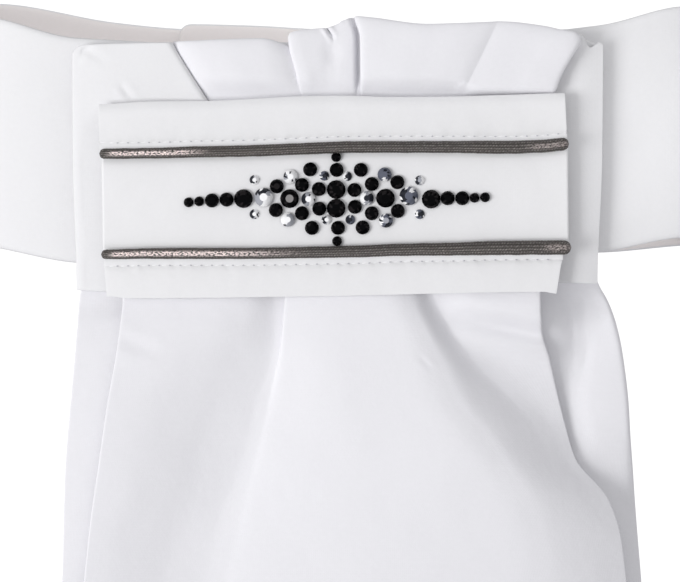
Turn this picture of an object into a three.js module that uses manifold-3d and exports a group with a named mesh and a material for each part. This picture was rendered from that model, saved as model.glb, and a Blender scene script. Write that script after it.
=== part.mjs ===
import * as THREE from 'three';
import { mergeVertices } from 'three/addons/utils/BufferGeometryUtils.js';
import Module from 'manifold-3d';

// A ready-tied riding cravat (stock tie) of white cotton: a neckband that closes at the back, a
// stitched plate at the throat, one pleated cloth that runs under a decorated band into the front
// tail, and a second tail behind it.
// Millimetres. +X is the viewer's right, -Y faces the viewer, +Z is up. The origin is the middle
// of the neck opening, level with the middle of the plate, where the neck goes through.

// Neckband: an open strip round the neck whose two ends overlap at the back
const NECK_HALF_WIDTH = 88;
const NECK_HALF_DEPTH = 38;
const NECK_SQUARENESS = 4.2;
const NECKBAND_THICKNESS = 1.8;
const NECKBAND_EDGE_ROUND = 0.5;
const NECKBAND_STEP = 6;
const OUTER_END = -247.5;
const INNER_END = 263;
const END_CORNER_RADIUS = 3;
const OVERLAP_BEGINS = 161.5;
const OVERLAP_COMPLETE = 197.5;

// The hook-and-loop pad that closes the overlap
const CLOSURE_THICKNESS = 0.9;
const CLOSURE_HEIGHT = 30;
const CLOSURE_FROM = 208.5;
const CLOSURE_TO = 254.5;

// Layers in front of the neckband, counted outwards from its outer face
const LAYER_GAP = 0.3;
const TAIL_CLOTH = 1.2;
const PLATE_THICKNESS = 1.6;
const PLATE_OUT = LAYER_GAP + TAIL_CLOTH + LAYER_GAP + PLATE_THICKNESS / 2;
const FRONT_CLOTH = 1.2;
const BAND_THICKNESS = 2;
const BAND_OUT = 7.4;
const BAND_FACE = BAND_OUT + BAND_THICKNESS / 2;
const TAIL_FLATTENING = 0.45;
const TAIL_TOP = -28;
const TAIL_HEM = -200;
const STEEPEST_FACING = 0.6;

// Trim
const CORD_RADIUS = 1.2;
const CORD_SIDES = 8;
const CORD_STEPS = 26;
const CORD_OUT = BAND_FACE + LAYER_GAP + CORD_RADIUS;
const STONE_OUT = BAND_FACE + LAYER_GAP;
const STONE_SIDES = 8;
const TABLE_SHARE = 0.55;
const GIRDLE_SHARE = 0.3;
const STONE_SINK = 0.2;

// Neckband sections: distance along the band from the throat, height of the band's middle line,
// and the band's height. Negative distances go round the viewer's left.
const neckSections = [
  { along: -247.5, middle: 6.2, height: 52 },
  { along: -224, middle: 6.0, height: 52 },
  { along: -189.5, middle: 7.1, height: 52 },
  { along: -174.5, middle: 8.5, height: 52 },
  { along: -147, middle: 12.6, height: 52 },
  { along: -111, middle: 11.2, height: 51.4 },
  { along: -77.5, middle: 7.5, height: 51.2 },
  { along: -57.5, middle: 3.3, height: 49.9 },
  { along: 0, middle: 1.0, height: 50 },
  { along: 57.5, middle: 5.8, height: 50.4 },
  { along: 77.5, middle: 9.7, height: 51.5 },
  { along: 111, middle: 10.2, height: 51.2 },
  { along: 147, middle: 8.5, height: 52 },
  { along: 166.5, middle: 7.0, height: 52 },
  { along: 224, middle: 6.7, height: 52 },
  { along: 247.5, middle: 7.8, height: 52 },
  { along: 263, middle: 8.1, height: 52 },
];

// Plate behind the pleats: its left and right edge at its foot and at its top
const plateSections = [
  { share: 0, left: -57.2, leftZ: -27.1, right: 57.0, rightZ: -26.2 },
  { share: 0.5, left: -58.2, leftZ: 0, right: 58.0, rightZ: 0.5 },
  { share: 1, left: -57.6, leftZ: 26.2, right: 58.2, rightZ: 27.0 },
];

// Edges of the decorated band and the lines of its two cords, across the front
const bandTop = [
  { x: -52.4, z: 13.4 }, { x: -40.5, z: 14.0 }, { x: -28.6, z: 14.1 }, { x: -7.9, z: 15.1 },
  { x: 0.4, z: 15.4 }, { x: 40.3, z: 15.4 }, { x: 49.7, z: 15.8 },
];
const upperSeam = [
  { x: -52.3, z: 2.7 }, { x: -44, z: 2.9 }, { x: 0.4, z: 3.9 }, { x: 26.4, z: 4.0 },
  { x: 50.6, z: 4.7 },
];
const lowerSeam = [
  { x: -51.9, z: -19.7 }, { x: -44, z: -19.6 }, { x: 0.4, z: -19.1 }, { x: 26.4, z: -18.4 },
  { x: 51.1, z: -18.1 },
];
const bandFoot = [
  { x: -49.9, z: -28.9 }, { x: -45.8, z: -29.3 }, { x: -1.8, z: -28.8 }, { x: 44.9, z: -27.9 },
  { x: 48, z: -28.3 },
];
const bandStrips = {
  upper: { leftTop: -52.4, leftFoot: -52.2, rightTop: 49.7, rightFoot: 50.2 },
  middle: { leftTop: -51.8, leftFoot: -51.5, rightTop: 50.4, rightFoot: 50.6 },
  lower: { leftTop: -51.2, leftFoot: -49.9, rightTop: 49.2, rightFoot: 47.7 },
};
const SEAM_GAP = 0.3;

// Front cloth, from its folded top edge down to the hem of the front tail. Ten stations run from
// the left edge to the right edge. Above the band they are: left edge, under and over the first
// pleat, under and over the second, the notch, under and over the third, the soft ridge, right
// edge. In the tail the same ones are: left edge, shoulder, valley, foot and edge of the centre
// panel, its crown, its roll, the deep gulley, the side panel, right edge.
// across is the station's place in X, out is how far it stands in front of the neckband.
const frontSections = [
  {
    z: [26.3, 27.0, 27.0, 26.4, 28.5, 29.6, 32.0, 32.3, 31.2, 28.9],
    across: [-57.2, -37.2, -36.2, -12.8, -11.5, -1.6, 2.6, 3.8, 35, 54.6],
    out: [4.4, 4.8, 6.6, 5.0, 7.4, 5.8, 6.0, 8.2, 8.2, 7.2],
  },
  {
    z: [20.6, 21, 21, 21.2, 21.4, 21.6, 22, 22, 22, 21.8],
    across: [-55, -33.8, -32.7, -11.4, -10.2, -1.6, 3.2, 4.4, 31, 50.6],
    out: [4.4, 5.0, 7.0, 5.2, 7.8, 7.2, 5.4, 8.6, 8.6, 7.0],
  },
  {
    z: [14.0, 14.6, 14.6, 15.5, 15.5, 15.9, 15.9, 15.9, 15.9, 16.2],
    across: [-52.2, -30, -28.8, -9.2, -8, -2.4, 3.4, 4.6, 27.1, 47.6],
    out: [4.4, 4.6, 5.5, 4.7, 5.6, 5.2, 4.6, 5.6, 5.6, 5.0],
  },
  {
    z: -6,
    across: [-49.5, -30, -24, -11, -9.8, -1, 8, 14, 28, 46],
    out: [4.6, 4.7, 4.8, 4.5, 5.2, 5.2, 4.9, 4.8, 5, 4.7],
  },
  {
    z: -29.8,
    across: [-47.3, -31, -21, -12.4, -11.3, 1, 13, 17.6, 30, 44.6],
    out: [4.7, 4.8, 4.5, 4.4, 5.5, 5.6, 5.4, 4.4, 4.8, 4.6],
  },
  {
    z: -36,
    across: [-48, -29, -18, -12.7, -11.8, 3, 17, 22.4, 33, 44.8],
    out: [5.4, 5.8, 4.7, 4.5, 8.4, 9.6, 8.0, 4.5, 5.8, 5.4],
  },
  {
    z: -50,
    across: [-50, -36, -25, -14.4, -13.4, 6, 27, 34, 41, 48.4],
    out: [5.8, 7.0, 4.9, 5.4, 9.0, 11.2, 8.8, 4.5, 5.6, 5.2],
  },
  {
    z: -68,
    across: [-52.7, -43, -31.5, -18, -16.8, 8, 38, 48.4, 51.4, 54.3],
    out: [6.2, 7.8, 5.4, 7.4, 9.4, 11.8, 9.8, 6.6, 6.0, 5.8],
  },
  {
    z: -92,
    across: [-55.9, -47, -37, -22, -20.5, 8, 42, 54, 60, 63.8],
    out: [6.6, 8.2, 6.2, 9.0, 9.8, 11.8, 10.6, 8.8, 7.8, 7.0],
  },
  {
    z: -138,
    across: [-59, -51, -41, -27, -24.5, 8, 42, 55, 62, 67],
    out: [6.6, 8.0, 6.8, 8.8, 9.4, 11.0, 10, 8.6, 7.6, 6.8],
  },
  {
    z: -200,
    across: [-62, -54, -45, -32, -28, 8, 42, 56, 64, 70],
    out: [6.4, 7.6, 7.0, 8.2, 8.6, 9.8, 9.0, 8.0, 7.2, 6.4],
  },
];
const frontColumns = [4, 3, 3, 1, 4, 4, 3, 3, 3];
const FRONT_ROWS_PER_SECTION = 3;

// Back tail: seven stations from its left edge, over its flat body and the rolled right side, to
// the turned edge behind the roll
const backSections = [
  { z: 8, across: [-54, -20, 20, 42, 48, 52, 54], out: [0.9, 0.9, 0.9, 0.9, 0.9, 0.9, 0.9] },
  { z: -26.5, across: [-56.4, -20, 20, 44, 50.5, 54.6, 57.2], out: [0.9, 0.9, 0.9, 0.9, 0.9, 0.9, 0.9] },
  { z: -31, across: [-57, -20, 22, 52, 57, 59.6, 58.2], out: [0.9, 0.9, 0.9, 1.0, 2.2, 0.2, -1.4] },
  { z: -40, across: [-57.6, -20, 22, 51, 57.5, 62.4, 58], out: [0.9, 0.9, 0.9, 1.2, 4.2, 0.4, -2.2] },
  { z: -54, across: [-58.8, -20, 22, 49.6, 57.5, 64, 57], out: [0.9, 1.2, 0.9, 1.2, 5.0, 0.6, -2.6] },
  { z: -70, across: [-60, -20, 24, 50.5, 58.5, 65.2, 56], out: [0.9, 1.4, 0.9, 1.2, 4.8, 0.6, -2.8] },
  { z: -92, across: [-60.5, -20, 26, 53, 60.5, 66.7, 55], out: [0.9, 1.4, 0.9, 1.2, 4.2, 0.4, -2.8] },
  { z: -140, across: [-64, -20, 28, 56, 63.5, 69.5, 56], out: [0.9, 1.2, 0.9, 1.2, 3.8, 0.4, -2.8] },
  { z: -206, across: [-67.5, -20, 30, 59, 67, 73, 58], out: [0.9, 1, 0.9, 1.2, 3.4, 0.3, -2.8] },
];
const backColumns = [3, 2, 3, 3, 3, 4];
const BACK_ROWS_PER_SECTION = 2;

// Flat-backed cut crystals: across and up from the origin, by colour and size
const stoneSizes = {
  large: { diameter: 4, height: 1.7 },
  medium: { diameter: 3, height: 1.3 },
  small: { diameter: 2.1, height: 1 },
};
const stoneGroups = [
  {
    colour: 'black', size: 'large',
    at: [[-20.7, -7.5], [-10.6, -7.5], [-0.4, -5.5], [-0.4, -9.6], [10.4, -7.4], [20.4, -7.6]],
  },
  {
    colour: 'black', size: 'medium',
    at: [
      [-27.6, -7.9], [-24.4, -7.7], [-13.4, -4.8], [-13.6, -10.0], [-7.9, -4.5], [-7.9, -10.7],
      [-6.1, -1.1], [-5.7, -13.9], [-4.2, -5.4], [-4.1, -9.7], [-0.3, -1.2], [0, -13.9],
      [3.6, -5.6], [3.7, -9.3], [5.0, -1.2], [5.4, -13.8], [7.4, -4.3], [7.4, -10.7],
      [13.0, -3.9], [13.1, -10.2], [24.0, -7.4], [27.2, -7.4],
    ],
  },
  {
    colour: 'black', size: 'small',
    at: [[-32.7, -8.3], [-30.4, -8.1], [-0.4, 1.6], [-0.2, -16.8], [29.9, -7.3], [32.2, -7.2]],
  },
  { colour: 'clear', size: 'large', at: [[-16.3, -7.2], [15.5, -6.9]] },
  {
    colour: 'clear', size: 'medium',
    at: [[-10.4, -2.7], [-11.0, -12.1], [-6.5, -7.6], [6.3, -7.4], [10.2, -2.2], [10.5, -12.3]],
  },
];
const accentStones = [
  [-18.3, -3.4], [-18.3, -10.9], [-3.0, -2.5], [-2.5, -12.1],
  [2.0, -2.6], [2.7, -12.1], [17.9, -3.5], [17.9, -10.9],
];

// Reading a table: a smooth curve through a column that never overshoots its rows
function slopeAt(keys, values, index) {
  if (index === 0 || index === keys.length - 1) {
    return 0;
  }
  const before = (values[index] - values[index - 1]) / (keys[index] - keys[index - 1]);
  const after = (values[index + 1] - values[index]) / (keys[index + 1] - keys[index]);
  return before * after <= 0 ? 0 : (2 * before * after) / (before + after);
}

function readCurve(keys, values, at) {
  const last = keys.length - 1;
  if (at <= keys[0]) {
    return values[0];
  }
  if (at >= keys[last]) {
    return values[last];
  }
  let index = 0;
  while (at > keys[index + 1]) {
    index += 1;
  }
  const span = keys[index + 1] - keys[index];
  const share = (at - keys[index]) / span;
  const square = share * share;
  const cube = square * share;
  return (2 * cube - 3 * square + 1) * values[index]
    + (cube - 2 * square + share) * span * slopeAt(keys, values, index)
    + (3 * square - 2 * cube) * values[index + 1]
    + (cube - square) * span * slopeAt(keys, values, index + 1);
}

function readTable(rows, key, column, at) {
  return readCurve(rows.map((row) => row[key]), rows.map((row) => row[column]), at);
}

function ramp(from, to, at) {
  const share = Math.min(1, Math.max(0, (at - from) / (to - from)));
  return share * share * (3 - 2 * share);
}

// The neckband's plan: a rounded oval seen from above, measured along its length from the throat
class NeckPlan extends THREE.Curve {
  getPoint(t, target = new THREE.Vector3()) {
    const turn = 2 * Math.PI * (t - 0.5);
    const power = 2 / NECK_SQUARENESS;
    const across = Math.sign(Math.sin(turn)) * Math.abs(Math.sin(turn)) ** power;
    const depth = -Math.sign(Math.cos(turn)) * Math.abs(Math.cos(turn)) ** power;
    return target.set(NECK_HALF_WIDTH * across, NECK_HALF_DEPTH * depth, 0);
  }
}

const neckPlan = new NeckPlan();
neckPlan.arcLengthDivisions = 4000;
const neckLength = neckPlan.getLength();

function neckPoint(along) {
  const turn = 0.5 + along / neckLength;
  return neckPlan.getPointAt(turn - Math.floor(turn));
}

function neckFrame(along, inward) {
  const half = 0.5;
  const point = neckPoint(along);
  const tangent = neckPoint(along + half).sub(neckPoint(along - half)).normalize();
  const outward = new THREE.Vector3(tangent.y, -tangent.x, 0);
  return { point: point.addScaledVector(outward, -inward), outward };
}

// The neckband's outer face in front: every layer over it is measured from here
function faceDepth(x) {
  const share = Math.min(1, Math.abs(x) / NECK_HALF_WIDTH);
  return -NECK_HALF_DEPTH * (1 - share ** NECK_SQUARENESS) ** (1 / NECK_SQUARENESS) - NECKBAND_THICKNESS / 2;
}

function onFace(x, z, out) {
  const hang = ramp(TAIL_TOP, TAIL_HEM, z) * TAIL_FLATTENING;
  const depth = faceDepth(x) + (faceDepth(0) - faceDepth(x)) * hang;
  return new THREE.Vector3(x, depth - out, z);
}

// One closed body through a row of rings, each ring a closed outline of the same even count
function loft(rings) {
  const count = rings[0].length;
  const positions = rings.flat().flatMap((point) => [point.x, point.y, point.z]);
  const faces = [];
  const quad = (a, b, c, d) => faces.push(a, b, c, a, c, d);
  for (let ring = 0; ring < rings.length - 1; ring += 1) {
    for (let side = 0; side < count; side += 1) {
      const next = (side + 1) % count;
      quad(ring * count + side, ring * count + next, (ring + 1) * count + next, (ring + 1) * count + side);
    }
  }
  const lastRing = (rings.length - 1) * count;
  for (let side = 0; side < count / 2 - 1; side += 1) {
    const far = count - 1 - side;
    quad(side, far, far - 1, side + 1);
    quad(lastRing + side, lastRing + side + 1, lastRing + far - 1, lastRing + far);
  }
  const geometry = new THREE.BufferGeometry();
  geometry.setAttribute('position', new THREE.Float32BufferAttribute(positions, 3));
  geometry.setIndex(facesOutwards(positions, faces));
  return geometry;
}

function facesOutwards(positions, faces) {
  const corner = (index) => new THREE.Vector3().fromArray(positions, index * 3);
  let volume = 0;
  for (let face = 0; face < faces.length; face += 3) {
    volume += corner(faces[face]).dot(corner(faces[face + 1]).cross(corner(faces[face + 2])));
  }
  if (volume > 0) {
    return faces;
  }
  return faces.map((_, index) => faces[index - (index % 3) + [0, 2, 1][index % 3]]);
}

// A wall of cloth about a grid of points in its middle. A cloth that lies in steps is thickened
// straight along Y, so that its steps stay clean; one that turns back is thickened squarely.
function sheet(grid, thickness, straight) {
  const half = thickness / 2;
  return loft(grid.map((row, r) => {
    const above = grid[Math.max(0, r - 1)];
    const below = grid[Math.min(grid.length - 1, r + 1)];
    const offsets = row.map((_, c) => {
      const across = row[Math.min(row.length - 1, c + 1)].clone().sub(row[Math.max(0, c - 1)]);
      const normal = below[c].clone().sub(above[c]).cross(across).normalize();
      return straight
        ? new THREE.Vector3(0, -half / Math.max(STEEPEST_FACING, Math.abs(normal.y)), 0)
        : normal.multiplyScalar(half);
    });
    const front = row.map((point, c) => point.clone().add(offsets[c]));
    const back = row.map((point, c) => point.clone().sub(offsets[c]));
    return [...front, ...back.reverse()];
  }));
}

// Grid points of a cloth whose sections each give a place and depth at the same stations
function clothGrid(sections, columns, rowsPerSection) {
  const stations = columns.map((_, index) => index).concat(columns.length);
  const sectionKeys = sections.map((_, index) => index);
  const places = columns.flatMap((count, station) => (
    Array.from({ length: count }, (_, step) => station + step / count)
  )).concat(columns.length);
  const rowCount = (sections.length - 1) * rowsPerSection + 1;
  return Array.from({ length: rowCount }, (_, row) => places.map((place) => {
    const read = (column) => readCurve(sectionKeys, sections.map((section) => (
      Array.isArray(section[column]) ? readCurve(stations, section[column], place) : section[column]
    )), row / rowsPerSection);
    return onFace(read('across'), read('z'), read('out'));
  }));
}

function makeNeckband() {
  const ends = [0, 0.4, 1.2, 2.2, END_CORNER_RADIUS];
  const firstStep = Math.ceil((OUTER_END + END_CORNER_RADIUS) / NECKBAND_STEP) + 0.5;
  const lastStep = Math.floor((INNER_END - END_CORNER_RADIUS) / NECKBAND_STEP) - 0.5;
  const middle = Array.from({ length: lastStep - firstStep + 1 }, (_, step) => (
    (firstStep + step) * NECKBAND_STEP
  ));
  const places = [
    ...ends.map((distance) => OUTER_END + distance),
    ...middle,
    ...ends.map((distance) => INNER_END - distance).reverse(),
  ];
  const overlapShift = NECKBAND_THICKNESS + CLOSURE_THICKNESS + 2 * LAYER_GAP;
  return loft(places.map((along) => {
    const inward = ramp(OVERLAP_BEGINS, OVERLAP_COMPLETE, along) * overlapShift;
    const { point, outward } = neckFrame(along, inward);
    const fromEnd = Math.min(along - OUTER_END, INNER_END - along, END_CORNER_RADIUS);
    const cut = END_CORNER_RADIUS - Math.sqrt(END_CORNER_RADIUS ** 2 - (END_CORNER_RADIUS - fromEnd) ** 2);
    const half = readTable(neckSections, 'along', 'height', along) / 2 - cut;
    const level = readTable(neckSections, 'along', 'middle', along);
    const corner = (out, up) => new THREE.Vector3(
      point.x + (outward.x * out * NECKBAND_THICKNESS) / 2,
      point.y + (outward.y * out * NECKBAND_THICKNESS) / 2,
      level + up,
    );
    const flank = half - NECKBAND_EDGE_ROUND;
    return [
      corner(1, -flank), corner(1, flank), corner(0, half),
      corner(-1, flank), corner(-1, -flank), corner(0, -half),
    ];
  }));
}

function makeClosurePad() {
  const shift = (NECKBAND_THICKNESS + CLOSURE_THICKNESS) / 2 + LAYER_GAP;
  const steps = 10;
  return loft(Array.from({ length: steps + 1 }, (_, step) => {
    const along = CLOSURE_FROM + ((CLOSURE_TO - CLOSURE_FROM) * step) / steps;
    const { point, outward } = neckFrame(along, shift);
    const level = readTable(neckSections, 'along', 'middle', along);
    const corner = (out, up) => point.clone()
      .addScaledVector(outward, (out * CLOSURE_THICKNESS) / 2)
      .setZ(level + (up * CLOSURE_HEIGHT) / 2);
    return [corner(1, -1), corner(1, 1), corner(-1, 1), corner(-1, -1)];
  }));
}

function makePlate() {
  const rows = 5;
  const columns = 18;
  const grid = Array.from({ length: rows }, (_, row) => {
    const share = 1 - row / (rows - 1);
    const read = (column) => readTable(plateSections, 'share', column, share);
    return Array.from({ length: columns + 1 }, (__, column) => {
      const across = column / columns;
      const x = THREE.MathUtils.lerp(read('left'), read('right'), across);
      const z = THREE.MathUtils.lerp(read('leftZ'), read('rightZ'), across);
      return onFace(x, z, PLATE_OUT);
    });
  });
  return sheet(grid, PLATE_THICKNESS, true);
}

function makeFrontCloth() {
  return sheet(clothGrid(frontSections, frontColumns, FRONT_ROWS_PER_SECTION), FRONT_CLOTH, true);
}

function makeBackTail() {
  return sheet(clothGrid(backSections, backColumns, BACK_ROWS_PER_SECTION), TAIL_CLOTH, false);
}

// One strip of the decorated band between two lines, stopping short of a line it shares
function bandStrip(strip, topLine, topGap, footLine, footGap) {
  const columns = 20;
  const rows = 3;
  return Array.from({ length: rows }, (_, row) => {
    const share = row / (rows - 1);
    const left = THREE.MathUtils.lerp(strip.leftTop, strip.leftFoot, share);
    const right = THREE.MathUtils.lerp(strip.rightTop, strip.rightFoot, share);
    return Array.from({ length: columns + 1 }, (__, column) => {
      const x = THREE.MathUtils.lerp(left, right, column / columns);
      const top = readTable(topLine, 'x', 'z', x) - topGap;
      const foot = readTable(footLine, 'x', 'z', x) + footGap;
      return onFace(x, THREE.MathUtils.lerp(top, foot, share), BAND_OUT);
    });
  });
}

function makeUpperBorder() {
  return sheet(bandStrip(bandStrips.upper, bandTop, 0, upperSeam, SEAM_GAP / 2), BAND_THICKNESS, true);
}

function makeLowerBorder() {
  return sheet(bandStrip(bandStrips.lower, lowerSeam, SEAM_GAP / 2, bandFoot, 0), BAND_THICKNESS, true);
}

function makeCord(line) {
  const first = line[0].x;
  const last = line[line.length - 1].x;
  const route = new THREE.CatmullRomCurve3(Array.from({ length: 9 }, (_, step) => {
    const x = THREE.MathUtils.lerp(first, last, step / 8);
    return onFace(x, readTable(line, 'x', 'z', x), CORD_OUT);
  }));
  const section = new THREE.Shape();
  section.absarc(0, 0, CORD_RADIUS, 0, 2 * Math.PI);
  return new THREE.ExtrudeGeometry(section, {
    curveSegments: CORD_SIDES / 2,
    steps: CORD_STEPS,
    extrudePath: route,
    bevelEnabled: false,
  });
}

function makeStone({ diameter, height }, sink) {
  const radius = diameter / 2;
  const profile = [
    new THREE.Vector2(0, -sink),
    new THREE.Vector2(radius, -sink),
    new THREE.Vector2(radius, height * GIRDLE_SHARE),
    new THREE.Vector2(radius * TABLE_SHARE, height),
    new THREE.Vector2(0, height),
  ];
  return new THREE.LatheGeometry(profile, STONE_SIDES).rotateX(Math.PI);
}

function seatStone(stone, x, z, out) {
  const reach = 1;
  stone.position.copy(onFace(x, z, out));
  stone.rotation.z = Math.atan2(faceDepth(x + reach) - faceDepth(x - reach), 2 * reach);
  stone.updateMatrix();
  return stone;
}

// Joining: a closed mesh as a solid, and a solid as a mesh again
function solidFrom(geometry, wasm) {
  const bare = geometry.clone();
  bare.deleteAttribute('normal');
  bare.deleteAttribute('uv');
  const merged = mergeVertices(bare);
  return new wasm.Manifold(new wasm.Mesh({
    numProp: 3,
    vertProperties: new Float32Array(merged.attributes.position.array),
    triVerts: new Uint32Array(merged.index.array),
  }));
}

function geometryFrom(solid) {
  const mesh = solid.getMesh();
  const geometry = new THREE.BufferGeometry();
  geometry.setAttribute('position', new THREE.Float32BufferAttribute(mesh.vertProperties, 3));
  geometry.setIndex(new THREE.Uint32BufferAttribute(mesh.triVerts, 1));
  return geometry;
}

// The middle strip of the band, with its small accent crystals set into the cloth
function makeBandPanel(wasm) {
  const grid = bandStrip(bandStrips.middle, upperSeam, SEAM_GAP / 2, lowerSeam, SEAM_GAP / 2);
  let solid = solidFrom(sheet(grid, BAND_THICKNESS, true), wasm);
  accentStones.forEach(([x, z]) => {
    const stone = new THREE.Mesh(makeStone(stoneSizes.small, STONE_SINK));
    const seated = seatStone(stone, x, z, BAND_FACE);
    solid = solid.add(solidFrom(seated.geometry.applyMatrix4(seated.matrix), wasm));
  });
  return geometryFrom(solid);
}

const cotton = { color: 0xf0f0f2, roughness: 0.85, metalness: 0 };
const looks = {
  cotton,
  inside: { ...cotton, color: 0xe6e3df },
  border: { ...cotton, color: 0xebebee },
  hook: { color: 0xd8d8d8, roughness: 0.95, metalness: 0 },
  gimp: { color: 0x5a5350, roughness: 0.45, metalness: 0.6 },
  black: { color: 0x08080a, roughness: 0.1, metalness: 0.1 },
  clear: { color: 0xdfe3e8, roughness: 0.05, metalness: 0.3 },
};

const wasm = await Module();
wasm.setup();
const cravat = new THREE.Group();

function addPiece(name, geometry, look) {
  const piece = new THREE.Mesh(geometry, new THREE.MeshStandardMaterial(looks[look]));
  piece.name = name;
  cravat.add(piece);
  return piece;
}

addPiece('neckband', makeNeckband(), 'cotton');
addPiece('closure_pad', makeClosurePad(), 'hook');
addPiece('throat_plate', makePlate(), 'cotton');
addPiece('pleated_front', makeFrontCloth(), 'cotton');
addPiece('back_tail', makeBackTail(), 'cotton');
addPiece('band_panel', makeBandPanel(wasm), 'cotton');
addPiece('border_upper', makeUpperBorder(), 'border');
addPiece('border_lower', makeLowerBorder(), 'border');
addPiece('cord_upper', makeCord(upperSeam), 'gimp');
addPiece('cord_lower', makeCord(lowerSeam), 'gimp');

stoneGroups.forEach(({ colour, size, at }) => at.forEach(([x, z], index) => {
  const material = new THREE.MeshStandardMaterial(looks[colour]);
  const stone = new THREE.Mesh(makeStone(stoneSizes[size], 0), material);
  stone.name = `crystal_${colour}_${size}_${index + 1}`;
  cravat.add(seatStone(stone, x, z, STONE_OUT));
}));

export default cravat;
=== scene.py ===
"""A ready-tied white riding cravat with a crystal-set throat band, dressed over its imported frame.

Tables and named sizes are in millimetres. Meshes, the camera, the lights, the floor and the sheets'
flat sizes are in metres. +X is the viewer's right, -Y faces the viewer and +Z is up. Cloth is laid by
functions that read short tables of sections.
"""

import math
from bisect import bisect_right

import bmesh
import bpy
from mathutils import Matrix, Vector, noise


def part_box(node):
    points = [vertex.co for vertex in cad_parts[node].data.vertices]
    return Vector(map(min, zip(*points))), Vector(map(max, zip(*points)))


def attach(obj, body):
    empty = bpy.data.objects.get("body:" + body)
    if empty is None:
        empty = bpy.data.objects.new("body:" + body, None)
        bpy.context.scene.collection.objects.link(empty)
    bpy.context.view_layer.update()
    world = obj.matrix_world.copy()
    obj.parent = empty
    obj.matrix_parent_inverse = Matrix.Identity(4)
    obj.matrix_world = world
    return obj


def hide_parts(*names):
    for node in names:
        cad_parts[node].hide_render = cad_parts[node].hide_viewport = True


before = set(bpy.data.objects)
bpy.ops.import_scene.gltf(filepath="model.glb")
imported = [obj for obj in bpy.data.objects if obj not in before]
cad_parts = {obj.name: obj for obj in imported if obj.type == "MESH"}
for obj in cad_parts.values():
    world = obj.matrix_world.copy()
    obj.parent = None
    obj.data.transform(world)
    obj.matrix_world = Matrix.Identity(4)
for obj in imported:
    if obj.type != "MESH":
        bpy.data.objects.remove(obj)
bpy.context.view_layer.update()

MM = 0.001
BODY = "root"

# The neckband's plan, as the solids have it, and how far out of its face each layer lies. The cords
# lie closer to the band than their solids do
NECK_HALF_WIDTH = 88
NECK_HALF_DEPTH = 38
NECK_SQUARENESS = 4.2
NECKBAND_THICKNESS = 1.8
OUTER_END = -247.5
INNER_END = 263
END_CORNER_RADIUS = 3
OVERLAP_BEGINS = 161.5
OVERLAP_COMPLETE = 197.5
CLOSURE_THICKNESS = 0.9
CLOSURE_HEIGHT = 30
CLOSURE_FROM = 208.5
CLOSURE_TO = 254.5
LAYER_GAP = 0.3
PLATE_BACK_OUT = 2.15
PLATE_FRONT_OUT = 3.05
BAND_OUT = 7.4
BAND_THICKNESS = 2
BAND_FACE = BAND_OUT + BAND_THICKNESS / 2
TAIL_FLATTENING = 0.45
TAIL_TOP = -28
TAIL_HEM = -200
CORD_OUT = BAND_FACE + 0.95
STONE_OUT = BAND_FACE + LAYER_GAP

# Cloth
THIN_CLOTH = 0.6
TAIL_CLOTH = 0.7


# Reading tables: a smooth curve through rows that never overshoots them

class Curve:
    def __init__(self, *rows):
        self.keys = [row[0] for row in rows]
        self.values = [row[1] for row in rows]
        self.slopes = [self.slope_at(index) for index in range(len(rows))]

    def slope_at(self, index):
        if index == 0 or index == len(self.keys) - 1:
            return 0.0
        before = self.rise(index - 1)
        after = self.rise(index)
        if before * after <= 0:
            return 0.0
        return 2 * before * after / (before + after)

    def rise(self, index):
        return (self.values[index + 1] - self.values[index]) / (self.keys[index + 1] - self.keys[index])

    def __call__(self, at):
        if at <= self.keys[0]:
            return self.values[0]
        if at >= self.keys[-1]:
            return self.values[-1]
        index = bisect_right(self.keys, at) - 1
        span = self.keys[index + 1] - self.keys[index]
        share = (at - self.keys[index]) / span
        square = share * share
        cube = square * share
        return (
            (2 * cube - 3 * square + 1) * self.values[index]
            + (cube - 2 * square + share) * span * self.slopes[index]
            + (3 * square - 2 * cube) * self.values[index + 1]
            + (cube - square) * span * self.slopes[index + 1]
        )


def ramp(start, end, at):
    share = min(1.0, max(0.0, (at - start) / (end - start)))
    return share * share * (3 - 2 * share)


def mix(first, second, share):
    return first + (second - first) * share


def ripple(x, z, size, seed):
    """Soft unevenness between -1 and 1, the same on every run."""
    return noise.noise(Vector((x / size, z / size, seed)))


def crease(x, z, start, end, depth, width):
    """A soft straight crease from one point to another: a hollow, with a small ridge on each side."""
    along_x = end[0] - start[0]
    along_z = end[1] - start[1]
    length = math.hypot(along_x, along_z)
    share = ((x - start[0]) * along_x + (z - start[1]) * along_z) / length**2
    if share <= 0 or share >= 1:
        return 0.0
    aside = ((x - start[0]) * along_z - (z - start[1]) * along_x) / length / width
    return -depth * math.sin(math.pi * share) * (1 - aside * aside) * math.exp(-aside * aside / 2)


def add_creases(out, x, z, creases):
    for start, end, depth, width in creases:
        out += crease(x, z, start, end, depth, width)
    return out


# The neckband's plan: a rounded oval seen from above, measured along its length from the throat

def plan_point(turn):
    power = 2 / NECK_SQUARENESS
    across = math.copysign(abs(math.sin(turn)) ** power, math.sin(turn))
    depth = -math.copysign(abs(math.cos(turn)) ** power, math.cos(turn))
    return Vector((NECK_HALF_WIDTH * across, NECK_HALF_DEPTH * depth, 0))


PLAN_STEPS = 4000
plan_points = [plan_point(2 * math.pi * (step / PLAN_STEPS - 0.5)) for step in range(PLAN_STEPS + 1)]
plan_lengths = [0.0]
for before, after in zip(plan_points, plan_points[1:]):
    plan_lengths.append(plan_lengths[-1] + (after - before).length)
neck_length = plan_lengths[-1]


def neck_point(along):
    distance = (along + neck_length / 2) % neck_length
    index = min(PLAN_STEPS - 1, bisect_right(plan_lengths, distance) - 1)
    share = (distance - plan_lengths[index]) / (plan_lengths[index + 1] - plan_lengths[index])
    return plan_points[index].lerp(plan_points[index + 1], share)


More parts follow.
